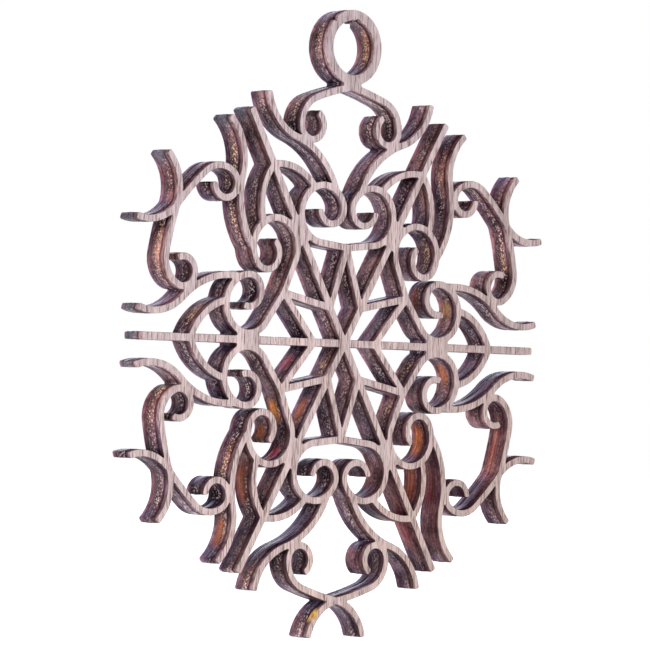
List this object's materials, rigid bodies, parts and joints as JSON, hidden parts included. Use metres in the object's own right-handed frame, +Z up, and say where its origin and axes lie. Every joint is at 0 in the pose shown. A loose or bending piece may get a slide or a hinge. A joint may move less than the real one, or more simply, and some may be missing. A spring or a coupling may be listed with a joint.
{
  "type": "snowflake ornament",
  "caption": "Flat wooden snowflake ornament cut from plywood, with a star centre, curling scrollwork arms and a ring cut into the top to hang it by.",
  "frame": {"origin": "centre of the hanging ring's hole, midway through the board", "axes": "+Z up from the snowflake's centre to the ring, -Y out of the front face, +X to the right seen from the front"},
  "size_m": [0.0624, 0.003, 0.0717],
  "materials": {
    "face_veneer": "bare veneer with fine straight grain",
    "charred_core": "scorched cut edge"
  },
  "bodies": {
    "root": {"front_veneer": "face_veneer", "core_ply": "charred_core", "back_veneer": "face_veneer"}
  },
  "joints": []
}
